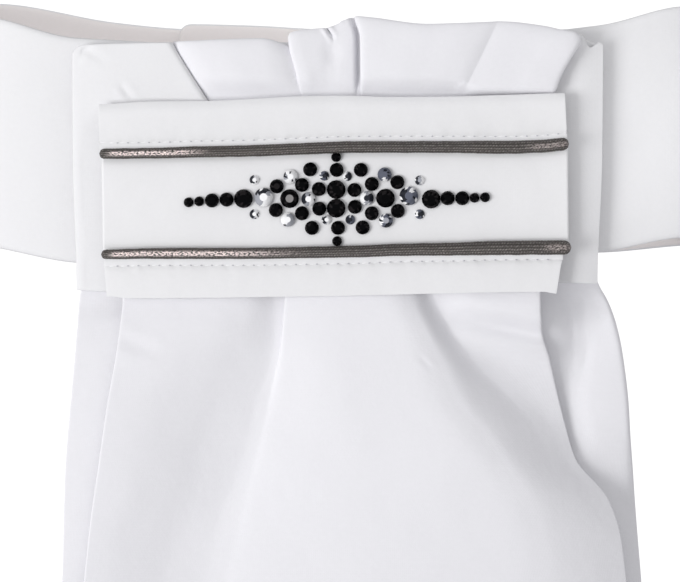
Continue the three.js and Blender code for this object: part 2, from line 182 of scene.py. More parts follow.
def neck_frame(along, inward):
    tangent = (neck_point(along + 0.5) - neck_point(along - 0.5)).normalized()
    outward = Vector((tangent.y, -tangent.x, 0))
    return neck_point(along) - outward * inward, outward


def face_depth(x):
    share = min(1.0, abs(x) / NECK_HALF_WIDTH)
    return -NECK_HALF_DEPTH * (1 - share**NECK_SQUARENESS) ** (1 / NECK_SQUARENESS) - NECKBAND_THICKNESS / 2


def on_face(x, z, out):
    """The point that stands out millimetres in front of the neckband's outer face, in metres."""
    hang = ramp(TAIL_TOP, TAIL_HEM, z) * TAIL_FLATTENING
    depth = mix(face_depth(x), face_depth(0), hang)
    return Vector((x, depth - out, z)) * MM


# Outlines of the neckband and of the decorated band, as the solids have them. The band's top was read
# again from the photo and dips a little right of its middle

neck_middle = Curve(
    (-247.5, 6.2), (-224, 6), (-189.5, 7.1), (-174.5, 8.5), (-147, 12.6), (-111, 11.2), (-77.5, 7.5),
    (-57.5, 3.3), (0, 1), (57.5, 5.8), (77.5, 9.7), (111, 10.2), (147, 8.5), (166.5, 7),
    (224, 6.7), (247.5, 7.8), (263, 8.1),
)
neck_height = Curve(
    (-247.5, 52), (-147, 52), (-111, 51.4), (-77.5, 51.2), (-57.5, 49.9), (0, 50), (57.5, 50.4),
    (77.5, 51.5), (111, 51.2), (147, 52), (263, 52),
)
band_top = Curve(
    (-52.4, 13.4), (-40.5, 14), (-28.6, 14.1), (-7.9, 15.1), (0.4, 15.25), (13, 14.95), (24, 15.05),
    (36, 15.4), (49.7, 15.8),
)
band_foot = Curve((-49.9, -28.9), (-45.8, -29.3), (-1.8, -28.8), (44.9, -27.9), (48, -28.3))

# The two seams that the cords cover, and each cord's radius along its seam, drawn closer than the solids
upper_seam = Curve(
    (-52.3, 2.35), (-45.4, 2.4), (-38.9, 2.5), (-30, 2.75), (-19.2, 2.95), (-8.2, 3.4), (4.9, 3.8),
    (24.6, 3.82), (35.6, 3.75), (44.3, 3.98), (50.6, 4.5),
)
lower_seam = Curve(
    (-51.9, -19.7), (-38.9, -19.5), (-19.2, -19.5), (-8.2, -19.3), (4.9, -19.05), (13.7, -18.7),
    (24.6, -18.55), (35.6, -18.3), (51.1, -18.2),
)
upper_radius = Curve((-52.3, 1.17), (-30, 1.25), (-8, 1.31), (24, 1.33), (35.6, 1.47), (50.6, 1.45))
lower_radius = Curve((-51.9, 1.08), (-38, 1.22), (-8, 1.28), (13, 1.38), (24, 1.43), (36, 1.6), (51.1, 1.62))


# Node trees

class Shader:
    """Adds nodes to one tree, and feeds their sockets with values or with other nodes' outputs."""

    def __init__(self, tree):
        self.tree = tree

    def feed(self, node, sockets):
        for key, value in sockets.items():
            if isinstance(value, bpy.types.NodeSocket):
                self.tree.links.new(value, node.inputs[key])
            else:
                node.inputs[key].default_value = value

    def add(self, kind, sockets):
        node = self.tree.nodes.new(f"ShaderNode{kind}")
        self.feed(node, sockets)
        return node

    def cloth_uv(self):
        node = self.add("UVMap", {})
        node.uv_map = "cloth"
        return node.outputs[0]

    def bands(self, vector, period, direction):
        """Even bands. At scale 1 the node repeats them every pi / 10."""
        node = self.add("TexWave", {"Vector": vector, "Scale": math.pi / 10 / (period * MM)})
        node.wave_type = "BANDS"
        node.bands_direction = direction
        return node.outputs["Fac"]

    def clouds(self, vector, size, detail):
        sockets = {"Vector": vector, "Scale": 1 / (size * MM), "Detail": detail}
        return self.add("TexNoise", sockets).outputs["Fac"]

    def combine(self, kind, first, second):
        node = self.add("Math", {0: first, 1: second})
        node.operation = kind
        return node.outputs[0]

    def fade(self, value, start, end, first=0.0, last=1.0):
        node = self.add("MapRange", {0: value, 1: start, 2: end, 3: first, 4: last})
        node.interpolation_type = "SMOOTHSTEP"
        return node.outputs["Result"]

    def blend(self, share, *colours):
        first, second = ((*colour, 1) if isinstance(colour, tuple) else colour for colour in colours)
        node = self.add("Mix", {})
        node.data_type = "RGBA"
        self.feed(node, {"Factor": share, "A": first, "B": second})
        return node.outputs["Result"]

    def bump(self, height, depth, before=None):
        node = self.add("Bump", {"Height": height, "Distance": depth * MM, "Strength": 1.0})
        if before:
            self.feed(node, {"Normal": before})
        return node.outputs[0]


# Camera, light and floor

CAMERA_PLACE = (0.00044, -1.541, -0.02772)
SENSOR_WIDTH = 36
LENS = 361
FLOOR_HEIGHT = -0.26
FLOOR_RADIUS = 0.6


def set_camera():
    camera = bpy.data.cameras.new("camera")
    camera.sensor_width = SENSOR_WIDTH
    camera.lens = LENS
    camera.clip_end = 20
    holder = bpy.data.objects.new("camera", camera)
    holder.location = CAMERA_PLACE
    holder.rotation_euler = (math.radians(90), 0, 0)
    bpy.context.collection.objects.link(holder)
    bpy.context.scene.camera = holder


def set_world(low, high, backdrop):
    """Soft light from all round, stronger from above, and plain white where the camera looks past."""
    world = bpy.data.worlds.new("studio")
    bpy.context.scene.world = world
    world.use_nodes = True
    world.node_tree.nodes.clear()
    shade = Shader(world.node_tree)
    place = shade.add("TexCoord", {}).outputs["Generated"]
    rise = shade.fade(shade.add("SeparateXYZ", {0: place}).outputs["Z"], -0.7, 0.7, low, high)
    soft = shade.add("Background", {"Color": (0.985, 0.985, 1.0, 1), "Strength": rise})
    white = shade.add("Background", {"Color": (1, 1, 1, 1), "Strength": backdrop})
    seen = shade.add("LightPath", {}).outputs["Is Camera Ray"]
    choose = shade.add("MixShader", {0: seen, 1: soft.outputs[0], 2: white.outputs[0]})
    shade.add("OutputWorld", {"Surface": choose.outputs[0]})


def hang_light(name, light, power, place, aim):
    light.energy = power
    holder = bpy.data.objects.new(name, light)
    holder.location = place
    holder.rotation_euler = (Vector(place) - Vector(aim)).to_track_quat("Z", "Y").to_euler()
    bpy.context.collection.objects.link(holder)


def add_soft_light(name, left, below, distance, size, power):
    """A square soft light, placed by the angles at which it stands left of and below the viewer."""
    light = bpy.data.lights.new(name, "AREA")
    light.size = size
    left = math.radians(left)
    below = math.radians(below)
    level = math.cos(below)
    direction = Vector((-math.sin(left) * level, -math.cos(left) * level, -math.sin(below)))
    hang_light(name, light, power, direction * distance, (0, 0, 0))


def add_side_spot(name, place, aim, radius, power):
    """A soft spot that lifts one side of the neckband, fading out towards the edge of its beam."""
    light = bpy.data.lights.new(name, "SPOT")
    light.shadow_soft_size = 0.025
    light.spot_blend = 1.0
    light.spot_size = 2 * math.atan(radius / (Vector(place) - Vector(aim)).length)
    hang_light(name, light, power, place, aim)


def add_loop_light(name, place, aim, spread, power):
    """A wide, narrow-beamed strip light from above that reaches inside the open neck loop."""
    light = bpy.data.lights.new(name, "AREA")
    light.shape = "RECTANGLE"
    light.size = 0.2
    light.size_y = 0.03
    light.spread = math.radians(spread)
    hang_light(name, light, power, place, aim)


def set_floor():
    bm = bmesh.new()
    bmesh.ops.create_circle(bm, cap_ends=True, segments=96, radius=FLOOR_RADIUS)
    bmesh.ops.translate(bm, vec=(0, 0, FLOOR_HEIGHT), verts=bm.verts)
    add_object("floor", bm, [make_plain("pale floor", (0.86, 0.86, 0.87), 0.8, {})])


# Materials

THREAD_PITCH = 0.36
WEAVE_DEPTH = 0.008
SLUB_SIZE = 0.9
SLUB_RELIEF = 3.0
MOTTLE = 0.012
CRUMPLE_SIZE = 9
CRUMPLE_DEPTH = 0.25
PILE_LOOP = 0.9
PILE_DEPTH = 0.4
GLASS_ROUGHNESS = 0.06


def new_material(name):
    material = bpy.data.materials.new(name)
    material.use_nodes = True
    return material, Shader(material.node_tree), material.node_tree.nodes["Principled BSDF"]


def make_cotton(name, colour):
    """Close plain-woven white cotton: fine weave by the cloth's own UV, soft unevenness by place."""
    material, shade, skin = new_material(name)
    uv = shade.cloth_uv()
    place = shade.add("TexCoord", {}).outputs["Object"]
    warp = shade.bands(uv, THREAD_PITCH, "X")
    weft = shade.bands(uv, THREAD_PITCH, "Y")
    slub = shade.clouds(uv, SLUB_SIZE, 3)
    threads = shade.combine("MULTIPLY", warp, weft)
    weave = shade.combine("ADD", threads, shade.combine("MULTIPLY", slub, SLUB_RELIEF))
    crumpled = shade.bump(shade.clouds(place, CRUMPLE_SIZE, 3), CRUMPLE_DEPTH)
    darker = tuple(part * (1 - MOTTLE * 2) for part in colour)
    lighter = tuple(min(1, part * (1 + MOTTLE)) for part in colour)
    shade.feed(skin, {
        "Base Color": shade.blend(slub, darker, lighter),
        "Normal": shade.bump(weave, WEAVE_DEPTH, crumpled),
        "Roughness": 0.92,
        "Specular IOR Level": 0.2,
        "Sheen Weight": 0.06,
        "Sheen Roughness": 0.5,
    })
    return material


# Gimp: along a cord a painted pinkish highlight grows over its tip, fades from one place to another, and
# comes back fainter near the far end. It keeps to the cord's front
GLINT_TIP = (1.5, 4)
GLINT_CENTRE = (0.4, 0.85)
FAR_GLINT_GROWTH = 4
FAR_GLINT_SHARE = 0.3
FIBRE_SIZE = 0.55
FIBRE_STRETCH = 1.5
FIBRE_GLINTS = (0.41, 0.54)
FIBRE_TONES = (0.35, 0.65)
GIMP_PITCH = 0.5
GIMP_DEPTH = 0.08
GIMP_LEAN = 38


def make_gimp(name, around, glint_fades, glint_ends, far_glint):
    """Dark metallic thread in several strands, with painted shade between its strands and twisted threads,
    and a painted pinkish highlight in dashes on its front over given stretches.
    """
    material, shade, skin = new_material(name)
    uv = shade.cloth_uv()
    parts = shade.add("SeparateXYZ", {0: uv})
    along = parts.outputs["X"]
    tip = shade.fade(along, GLINT_TIP[0] * MM, GLINT_TIP[1] * MM)
    near = shade.fade(along, glint_fades * MM, glint_ends * MM, 1, 0)
    far = shade.fade(along, far_glint * MM, (far_glint + FAR_GLINT_GROWTH) * MM, 0, FAR_GLINT_SHARE)
    zone = shade.combine("MAXIMUM", shade.combine("MULTIPLY", tip, near), far)
    aside = shade.combine("ABSOLUTE", shade.combine("SUBTRACT", parts.outputs["Y"], around / 2), 0)
    centred = shade.fade(aside, GLINT_CENTRE[0] * MM, GLINT_CENTRE[1] * MM, 1, 0)
    stretched = shade.add("Mapping", {"Vector": uv, "Scale": (1, FIBRE_STRETCH, 1)}).outputs[0]
    fibres = shade.clouds(stretched, FIBRE_SIZE, 2)
    dashes = shade.fade(fibres, *FIBRE_GLINTS)
    # The highlight is painted: a pinkish colour in dashes over the glint zone, at the cord's front
    glint = shade.combine("MULTIPLY", shade.combine("MULTIPLY", zone, centred), dashes)
    turn = (0, 0, math.radians(GIMP_LEAN))
    leaning = shade.add("Mapping", {"Vector": uv, "Rotation": turn}).outputs[0]
    threads = shade.bands(leaning, GIMP_PITCH, "X")
    # Painted shade: darker colour in the grooves between strands and between the twisted threads
    groove = shade.bands(uv, around / CORD_STRANDS / MM, "Y")
    crest = shade.blend(shade.fade(fibres, *FIBRE_TONES), (0.12, 0.11, 0.103), (0.31, 0.285, 0.265))
    twist_shade = shade.blend(shade.fade(threads, 0.0, 0.5), (0.1, 0.092, 0.086), crest)
    dark = shade.blend(groove, twist_shade, (0.065, 0.058, 0.055))
    shade.feed(skin, {
        "Base Color": shade.blend(glint, dark, (1.0, 0.86, 0.83)),
        "Normal": shade.bump(threads, GIMP_DEPTH),
        "Metallic": 0.7,
        "Roughness": 0.45,
    })
    return material


def make_pile():
    material, shade, skin = new_material("looped pile")
    place = shade.add("TexCoord", {}).outputs["Object"]
    loops = shade.add("TexVoronoi", {"Vector": place, "Scale": 1 / (PILE_LOOP * MM)}).outputs["Distance"]
    shade.feed(skin, {
        "Base Color": shade.blend(loops, (0.8, 0.8, 0.8), (0.6, 0.6, 0.6)),
        "Normal": shade.bump(loops, PILE_DEPTH),
        "Roughness": 0.95,
    })
    return material


def make_plain(name, colour, roughness, more):
    material, shade, skin = new_material(name)
    shade.feed(skin, {"Base Color": (*colour, 1), "Roughness": roughness, **more})
    return material


def make_glass(name, colour, shine, bend):
    """One facet's glass in one even tone. The black stones' jet is their own colour; their sheen and glint,
    and every tone of the clear stones, are painted reflections, highlights and shade.
    """
    return make_plain(name, colour, GLASS_ROUGHNESS, {"Specular IOR Level": shine, "IOR": bend})


# Making meshes

def add_object(name, bm, materials):
    mesh = bpy.data.meshes.new(name)
    bm.to_mesh(mesh)
    bm.free()
    for material in materials:
        mesh.materials.append(material)
    piece = bpy.data.objects.new(name, mesh)
    bpy.context.collection.objects.link(piece)
    return piece


def lay_cloth(name, columns, rows, row_at, materials):
    """A sheet of columns by rows quads. row_at(v) gives, for a row, the function from u to its point."""
    bm = bmesh.new()
    bmesh.ops.create_grid(bm, x_segments=columns, y_segments=rows, size=0.5)
    lattice = {}
    for vertex in bm.verts:
        column = round((vertex.co.x + 0.5) * columns)
        row = round((vertex.co.y + 0.5) * rows)
        lattice[column, row] = vertex
    for row in range(rows + 1):
        place = row_at(row / rows)
        for column in range(columns + 1):
            lattice[column, row].co = place(column / columns)
    across = lengths_along([lattice[column, rows // 2].co for column in range(columns + 1)])
    up = lengths_along([lattice[columns // 2, row].co for row in range(rows + 1)])
    flat = {vertex: (across[column], up[row]) for (column, row), vertex in lattice.items()}
    layer = bm.loops.layers.uv.new("cloth")
    for face in bm.faces:
        face.smooth = True
        for loop in face.loops:
            loop[layer].uv = flat[loop.vert]
    return add_object(name, bm, materials)


def lengths_along(points):
    lengths = [0.0]
    for before, after in zip(points, points[1:]):
        lengths.append(lengths[-1] + (after - before).length)
    return lengths


def give_thickness(piece, thickness, levels=1, round_edge=0.0, inner_material=0):
    wall = piece.modifiers.new("wall", "SOLIDIFY")
    wall.thickness = thickness * MM
    wall.offset = 0
    wall.material_offset = inner_material
    if round_edge:
        edge = piece.modifiers.new("soft edge", "BEVEL")
        edge.width = round_edge * MM
        edge.segments = 3
        edge.limit_method = "ANGLE"
        edge.angle_limit = math.radians(50)
    if levels:
        smooth = piece.modifiers.new("smooth", "SUBSURF")
        smooth.levels = levels
        smooth.render_levels = levels


def station_reader(counts):
    """Turns a share of all columns into a place among stations, counts columns from one to the next."""
    total = sum(counts)
    starts = [sum(counts[:index]) for index in range(len(counts) + 1)]

    def read(share):
        column = share * total
        index = min(len(counts) - 1, bisect_right(starts, column + 1e-6) - 1)
        return index + (column - starts[index]) / counts[index]

    return read


def section_reader(rows, column):
    """Turns a height into one column of a table of sections, as a curve over its stations."""
    ordered = sorted(rows)
    curves = [Curve(*((row[0], row[column][index]) for row in ordered))
              for index in range(len(rows[0][column]))]
    return lambda z: Curve(*enumerate(curve(z) for curve in curves))


def wear(piece, slot, *nodes):
    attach(piece, BODY)
    if nodes:
        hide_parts(*nodes)


# Neckband and its hidden closure

END_ZONE = 4
END_COLUMNS = 8
NECKBAND_COLUMNS = 300
NECKBAND_ROWS = 18
CLOSURE_COLUMNS = 30
CLOSURE_ROWS = 18


def neckband_along(u):
    """The place along the band, with columns set closer where the two ends are rounded."""
    share = END_COLUMNS / NECKBAND_COLUMNS
    if u <= share:
        return mix(OUTER_END, OUTER_END + END_ZONE, u / share)
    if u >= 1 - share:
        return mix(INNER_END - END_ZONE, INNER_END, (u - 1 + share) / share)
    return mix(OUTER_END + END_ZONE, INNER_END - END_ZONE, (u - share) / (1 - 2 * share))


def make_neckband(outside, inside):
    shift = NECKBAND_THICKNESS + CLOSURE_THICKNESS + 2 * LAYER_GAP

    def row_at(v):
        def place(u):
            along = neckband_along(u)
            point, outward = neck_frame(along, ramp(OVERLAP_BEGINS, OVERLAP_COMPLETE, along) * shift)
            from_end = min(along - OUTER_END, INNER_END - along, END_CORNER_RADIUS)
            cut = END_CORNER_RADIUS - math.sqrt(END_CORNER_RADIUS**2 - (END_CORNER_RADIUS - from_end) ** 2)
            half = neck_height(along) / 2 - cut
            z = neck_middle(along) + mix(-half, half, v)
            wave = 0.12 * ripple(along, z, size=22, seed=3.1)
            return (point + outward * wave + Vector((0, 0, z))) * MM

        return place

    piece = lay_cloth("neckband_cloth", NECKBAND_COLUMNS, NECKBAND_ROWS, row_at, [outside, inside])
    give_thickness(piece, NECKBAND_THICKNESS, inner_material=1)
    wear(piece, "white_cotton", "neckband")


def make_closure(pile):
    shift = (NECKBAND_THICKNESS + CLOSURE_THICKNESS) / 2 + LAYER_GAP

    def row_at(v):
        def place(u):
            along = mix(CLOSURE_FROM, CLOSURE_TO, u)
            point, _ = neck_frame(along, shift)
            z = neck_middle(along) + mix(-0.5, 0.5, v) * CLOSURE_HEIGHT
            return (point + Vector((0, 0, z))) * MM

        return place

    piece = lay_cloth("closure_pile", CLOSURE_COLUMNS, CLOSURE_ROWS, row_at, [pile])
    give_thickness(piece, CLOSURE_THICKNESS, levels=0, round_edge=0.2)
    wear(piece, "hook_and_loop", "closure_pad")


# Fold lines above the band: where each fold's edge lies at a height

first_fold = Curve((9, -25.6), (14.1, -28.8), (21.8, -33.7), (26.3, -36.4), (31, -38.6))
second_fold = Curve((9, -6.3), (15.1, -8), (20.9, -9.5), (26.6, -10.9), (31, -11.3))
centre_fold = Curve((9, -1.2), (31, -1.8))
third_fold = Curve((9, 4.3), (15, 4.3), (27.9, 4.2), (31.1, 3.3), (33, 2.8))
ridge = Curve((-3, 18.5), (9, 24.3), (15, 27.2), (31.2, 35.1), (43, 40.8))
front_right = Curve((9, 44), (16.4, 47.6), (19.5, 48.8), (23, 50.7), (27.1, 53.3), (28.6, 54.2), (31, 55.2))


# Throat plate: a sleeve folded round its left edge, open at the right. Its front layer is also the
# first panel of the pleats, which dips under the first fold.

plate_left = Curve((-27.1, -57.3), (0, -58.1), (26.2, -58.3))
plate_right = Curve((-26.2, 57), (0.5, 58), (27, 58.2))
plate_foot = Curve((-57.2, -27.6), (-52, -27.9), (0, -26.8), (50, -26), (57, -26.2))
plate_top = Curve(
    (-58.3, 24.8), (-57.7, 25.8), (-56.2, 26.45), (-50, 26.75), (-31, 26.95), (20, 27), (44, 27.4),
    (49.5, 28.4), (52.5, 28.9), (53.6, 28.7), (54.3, 27.6), (54.9, 26.3), (55.5, 25.9), (56.3, 26.3),
    (57.6, 27.1), (58.3, 26.8),
)
plate_columns = [4, 26, 3, 3, 10, 26, 5, 4, 6, 14, 14, 8, 20]
PLATE_ROWS = 64
PLATE_FRONT_STATION = 4
PLATE_LEVELS = (-27, 26.7)
PLATE_FREE = (8, 15)
PLATE_SWELL = 2.5
PLATE_LEFT_SWELL = 1.1
PLATE_DIP = 0.35
# Creases, in every table: start, end, depth and width
plate_creases = [
    ((-48.2, 17.9), (-44.2, 13.4), 0.55, 0.75),
    ((-58.2, 23.4), (-53.5, 26.6), 0.5, 0.8),
    ((-57.5, 26.4), (-50.5, 22.6), 0.35, 0.9),
]


def plate_relief(x, z):
    return add_creases(0.1 * ripple(x, z, size=7, seed=5.5), x, z, plate_creases)


def make_plate(cotton):
    read = station_reader(plate_columns)

    def row_at(v):
        level = mix(*PLATE_LEVELS, v)
        left = plate_left(level)
        right = plate_right(level)
        fold = first_fold(level)
        over = ramp(*PLATE_FREE, level)
        back = PLATE_BACK_OUT
        front = PLATE_FRONT_OUT
        high = front + PLATE_SWELL * over
        stations = [
            (right - 0.6, back), (44, back), (left + 1.4, back),
            (left, (back + front) / 2), (left + 1.5, front), (left + 9, front + PLATE_LEFT_SWELL * over),
            (fold - 1.2, high), (fold - 0.35, mix(front, high, 0.8)), (fold - 0.05, front + PLATE_DIP * over),
            (fold + 2, front), (8, front), (44, front + 0.2), (52.5, front + 0.8), (right, front - 0.1),
        ]
        xs = Curve(*enumerate(station[0] for station in stations))
        outs = Curve(*enumerate(station[1] for station in stations))

        def place(u):
            station = read(u)
            x = xs(station)
            z = mix(plate_foot(x), plate_top(x), v)
            out = outs(station)
            if station > PLATE_FRONT_STATION:
                out += plate_relief(x, z)
            return on_face(x, z, out)

        return place

    piece = lay_cloth("throat_plate_cloth", sum(plate_columns), PLATE_ROWS, row_at, [cotton])
    give_thickness(piece, TAIL_CLOTH)
    wear(piece, "white_cotton", "throat_plate")


# Pleats above the band. The stations are grouped by the fold line that they follow. Each gives how far
# right of the line it lies, how far out it is where the band presses it and where it is free, and its top.

PLEAT_ROWS = 46
PLEAT_FOOT = 9
PRESSED_TO = 14.9
FREE_FROM = 19.6
FREE_FROM_RIGHT = 16.9
PRESSED_CLOSER = 0.35
RIGHT_PART = (24, 31)
HELD_OUT = 4.0
LEAN_HEIGHT = 3.6
LEAN_DEPTH = 1.15
LEAN_SHARE = 0.34
TURNED_BACK = 150


def between(first, second, share):
    return lambda z: mix(first(z), second(z), share)


pleat_groups = [
    (first_fold, [
        (6, 3.95, 4, 26.9), (1.6, 3.95, 4, 26.9), (0.7, 3.9, 4.1, 26.9), (0.6, 4.1, 4.3, 26.8),
        (0.95, 4.4, 4.7, 26.8), (1.9, 4.8, 5.4, 26.9), (5, 5.3, 6.3, 27),
    ]),
    (between(first_fold, second_fold, 0.5), [(0, 5.4, 6.8, 27.35)]),
    (second_fold, [
        (-6, 5.3, 6.7, 27.5), (-3, 5.2, 6.3, 27), (-0.9, 5.05, 5.6, 26.1), (0.5, 4.8, 4.9, 25.8),
        (3.4, 4.6, 4.7, 26.2), (1.3, 4.8, 5, 26.6), (0.25, 4.95, 5.3, 27), (0.35, 5.1, 5.85, 27.8),
        (0.65, 5.25, 6.2, 28.6), (2.4, 5.45, 6.4, 29.2),
    ]),
    (centre_fold, [
        (-2.4, 5.45, 5.95, 29.7), (-0.6, 5.45, 5.7, 29.85), (0.6, 5.45, 5.65, 30.2),
        (2.2, 5.35, 5.7, 30.9),
    ]),
    (third_fold, [
        (-2.4, 5.3, 5.65, 31.3), (-1.1, 5.05, 5.45, 31.75), (-0.6, 4.6, 4.9, 32),
        (-0.1, 4.1, 3.7, 32.1), (3.6, 4.1, 3.8, 32.1), (1.9, 4.4, 4.7, 32.2), (0.95, 4.9, 5.7, 32.3),
        (0.9, 5.2, 6.8, 32.3), (1.05, 5.45, 7.5, 32.3), (1.7, 5.6, 7.8, 32.3), (5.5, 5.6, 8.05, 31.9),
    ]),
    (between(third_fold, ridge, 0.5), [(0, 5.6, 8.4, 30.6)]),
    (ridge, [
        (-8, 5.6, 8.4, 30.8), (-3, 5.5, 8.2, 31), (-1.2, 5.4, 7.85, 31.1), (-0.1, 5.3, 7.5, 31.2),
        (0.15, 5.3, 7.5, 31.2), (3, 5.4, 7.65, 31.1),
    ]),
    (between(ridge, front_right, 0.55), [(0, 5.5, 7.8, 30.1)]),
    (front_right, [
        (-6, 5.5, 7.9, 29.45), (-2.4, 5.5, 7.85, 28.9), (-0.7, 5.4, 7.7, 27.7), (0, 5, 7.1, 26.9),
        (-0.3, 4.5, 6.2, 26.7), (-4, 4.2, 5.2, 26.6),
    ]),
]
pleat_stations = [(line, *station) for line, stations in pleat_groups for station in stations]
pleat_columns = [
    2, 2, 2, 2, 3, 5, 8, 8, 5, 4, 3, 3, 3, 3, 2, 3, 5, 12, 6, 4, 5, 6, 4, 3,
    3, 3, 3, 3, 3, 2, 3, 4, 8, 8, 6, 4, 3, 2, 4, 8, 8, 5, 4, 3, 2, 3,
]
pleat_creases = [
    ((-3.8, 31.6), (-0.6, 27.4), 1.4, 0.42),
    ((-1.9, 27.2), (-0.3, 21.5), 0.26, 2.0),
]


def pleat_relief(x, z):
    return add_creases(0.12 * ripple(x, z, size=6, seed=1.7), x, z, pleat_creases)


def make_pleats(cotton):
    read = station_reader(pleat_columns)

    def station_at(row, level, lift):
        line, shift, pressed, free, top = row
        z = mix(PLEAT_FOOT, top - LEAN_HEIGHT, level)
        x = line(z + lift) + shift
        held = mix(HELD_OUT, pressed, PRESSED_CLOSER)
        free_from = mix(FREE_FROM, FREE_FROM_RIGHT, ramp(*RIGHT_PART, x))
        return x, mix(held, free, ramp(PRESSED_TO, free_from, z)), top

    def row_at(v):
        level = min(1.0, v / (1 - LEAN_SHARE))
        turned = max(0.0, (v - 1 + LEAN_SHARE) / LEAN_SHARE)
        angle = math.radians(TURNED_BACK) * turned
        lift = LEAN_HEIGHT * math.sin(angle)
        back = LEAN_DEPTH * (1 - math.cos(angle))
        stations = [station_at(row, level, lift) for row in pleat_stations]
        xs, outs, tops = (Curve(*enumerate(station[part] for station in stations)) for part in range(3))

        def place(u):
            station = read(u)
            x = xs(station)
            z = mix(PLEAT_FOOT, tops(station) - LEAN_HEIGHT, level) + lift
            out = outs(station) - back
            out += pleat_relief(x, z) * ramp(PRESSED_TO, FREE_FROM, z)
            return on_face(x, z, out)

        return place

    piece = lay_cloth("pleats_cloth", sum(pleat_columns), PLEAT_ROWS, row_at, [cotton])
    give_thickness(piece, THIN_CLOTH)
    wear(piece, "white_cotton", "pleated_front")


# Tails. Each section gives a height, its stations' places across, and how far out they lie

# Front tail. Stations: left edge, shoulder, fall, slope, foot, tuck, fold edge, brow, crown, roll,
# wall, gulley, side panel and right edge
front_sections = [
    (12, [-50, -40, -30, -20, -12, -10.5, -9, -7, 0, 10, 15, 19, 30, 46],
     [4.2] * 14),
    (-20, [-48, -38, -28, -20, -13, -9.8, -11.2, -9.8, -2, 9, 14.5, 18, 30, 45],
     [4.4, 4.8, 4.8, 4.6, 4, 4.1, 4.9, 5.1, 5.3, 5.2, 4.6, 3.9, 4.6, 4.7]),
    (-29.2, [-47.3, -38, -28, -20, -13.4, -9.5, -11.5, -10, -2, 10, 16, 21.6, 30, 44.6],
     [5, 5.5, 5.5, 5.1, 3.3, 3.6, 5.3, 5.6, 5.8, 5.6, 4.6, 2, 4, 4.5]),
    (-36, [-47.9, -38, -28, -21, -13.6, -10.6, -12, -10, 0, 13, 19, 25.2, 34, 44.9],
     [7.4, 7.3, 6.7, 5.5, 3.2, 3.5, 4.9, 5.2, 5.9, 5.9, 5.1, 0.9, 1.1, 1.7]),
    (-43, [-48.9, -39, -29, -21, -14.6, -12.9, -12.6, -9.5, 1, 15.5, 22.8, 30, 38, 46.8],
     [9, 8.4, 6.9, 4.9, 3.6, 3.8, 4.4, 5, 6.2, 6, 4.8, 0.2, -1.6, -2.2]),
    (-51.7, [-50.4, -42, -33, -25, -17.5, -15.4, -13.8, -9.5, 3, 18.5, 27, 38.5, 44, 48.8],
     [10.3, 9.4, 7.4, 5.3, 3.9, 3.9, 4.4, 5.1, 6.4, 6.2, 4.9, -1.4, -3.2, -4.2]),
    (-58.3, [-51.4, -43.5, -35, -27, -19, -16.8, -15, -10, 5, 23, 32.5, 44, 47.8, 50.4],
     [11, 9.9, 7.7, 5.4, 4, 4.1, 4.5, 5.2, 6.5, 6.3, 4.8, -1.6, -3.5, -4.5]),
    (-65, [-52.3, -45, -37, -29, -21, -18.6, -16.4, -11, 7, 28, 37, 46.5, 50, 52.4],
     [11.4, 10.3, 8.1, 5.5, 4.1, 4.2, 4.7, 5.4, 6.6, 6.4, 5.1, -0.1, -2.2, -3.3]),
    (-73.7, [-53.6, -47, -39.5, -31.5, -24, -21, -18.4, -12.5, 9, 33, 42.5, 52.5, 56.5, 59.6],
     [11.5, 10.4, 8.2, 5.6, 4.3, 4.5, 5, 5.7, 6.9, 6.6, 5.5, 1.7, -0.2, -1.6]),
    (-82.5, [-54.7, -49.5, -42.5, -35, -27, -23.5, -20.2, -14, 10, 36, 45, 54.5, 59.2, 62.4],
     [11.3, 10.3, 8.3, 6, 4.8, 4.9, 5.4, 6.1, 7.2, 6.9, 5.9, 3.2, 1.5, 0.3]),
    (-110, [-57.2, -53, -46.5, -39.5, -31, -27, -23.6, -16, 10, 38, 49, 57.5, 62, 65],
     [10.4, 9.6, 7.9, 6.3, 5.5, 5.7, 6.2, 6.9, 7.9, 7.6, 6.7, 4.9, 3.7, 3]),
    (-150, [-59.6, -55, -48, -41, -34, -30, -26.4, -18, 10, 40, 51, 59.5, 64.5, 67.6],
     [9.2, 8.7, 7.7, 6.7, 6.4, 6.6, 7, 7.6, 8.4, 8, 7.2, 5.8, 5, 4.4]),
    (-200, [-62, -57.5, -51, -44, -37.5, -33, -29.5, -21, 10, 42, 54, 62, 66.6, 70],
     [7.9, 7.7, 7.3, 7, 6.9, 7.1, 7.4, 7.8, 8.5, 8.1, 7.4, 6.6, 6, 5.6]),
]
front_columns = [6, 8, 8, 8, 3, 4, 4, 12, 12, 12, 12, 7, 5]
front_levels = Curve((0, -200), (0.3, -110), (0.62, -51.7), (0.9, -22), (1, 12))
FRONT_ROWS = 104

